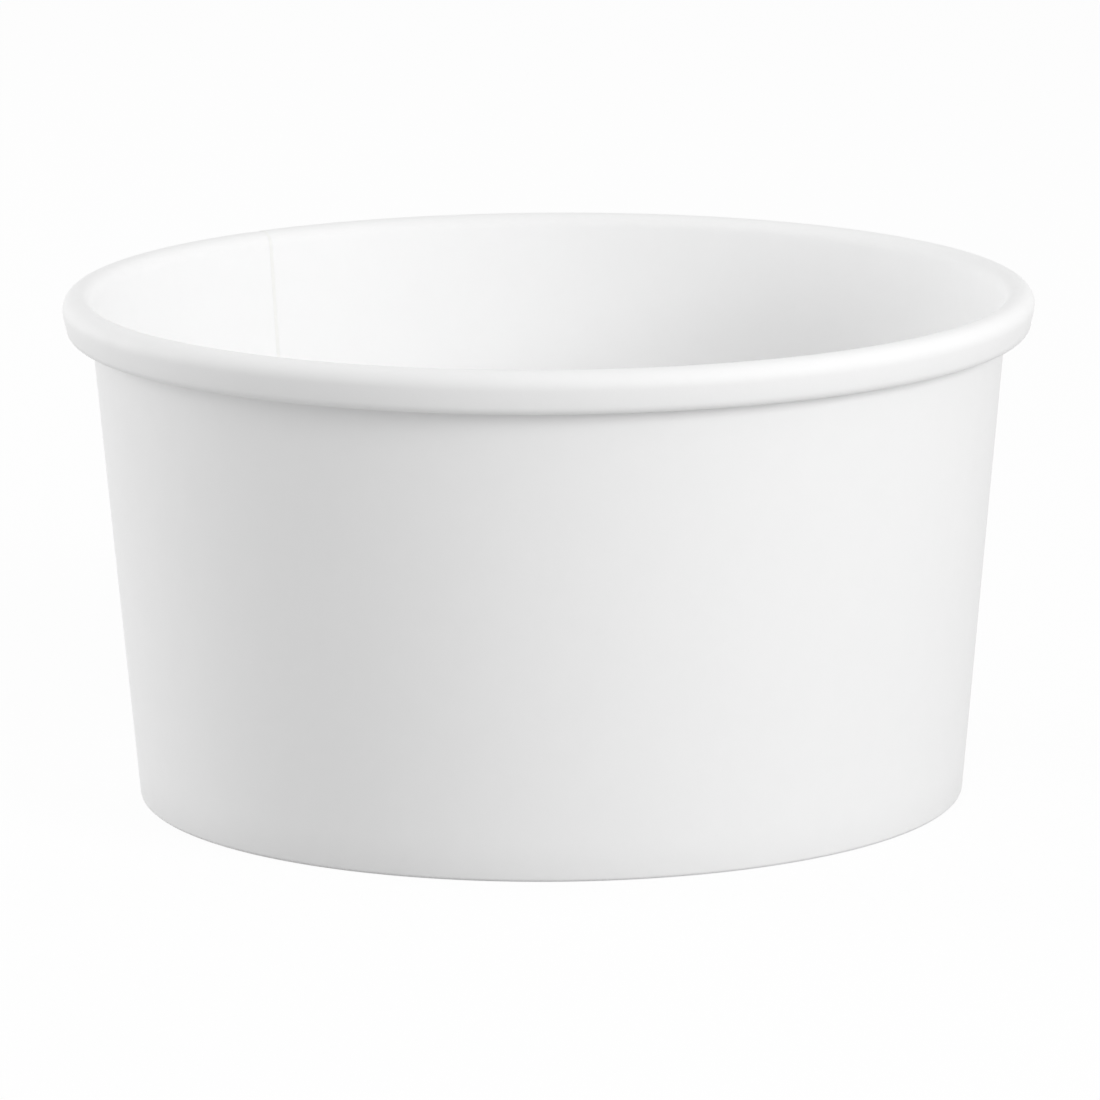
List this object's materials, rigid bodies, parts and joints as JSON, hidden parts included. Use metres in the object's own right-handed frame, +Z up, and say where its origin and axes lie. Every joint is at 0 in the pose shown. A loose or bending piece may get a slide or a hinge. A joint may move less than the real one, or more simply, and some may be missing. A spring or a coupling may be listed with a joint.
{
  "type": "paper sundae cup",
  "caption": "Squat tapered paper cup for a single serving of ice cream, with a lapped side seam, a rolled rim and a recessed bottom held in a folded foot.",
  "frame": {"origin": "centre of the circle on which the folded foot rests", "axes": "+Z up the cup's axis, out of its mouth; +X towards the right of the picture; the inner edge of the side seam lies 129.1 degrees from +X, counter-clockwise seen from above"},
  "size_m": [0.092, 0.092, 0.0484],
  "materials": {
    "wall_board": "white cup board, film-coated on the inside, smooth and satin",
    "bottom_board": "white cup board, film-coated on the upper side, uncoated below"
  },
  "bodies": {
    "root": {"side_wall": "wall_board", "bottom_disc": "bottom_board"}
  },
  "joints": []
}
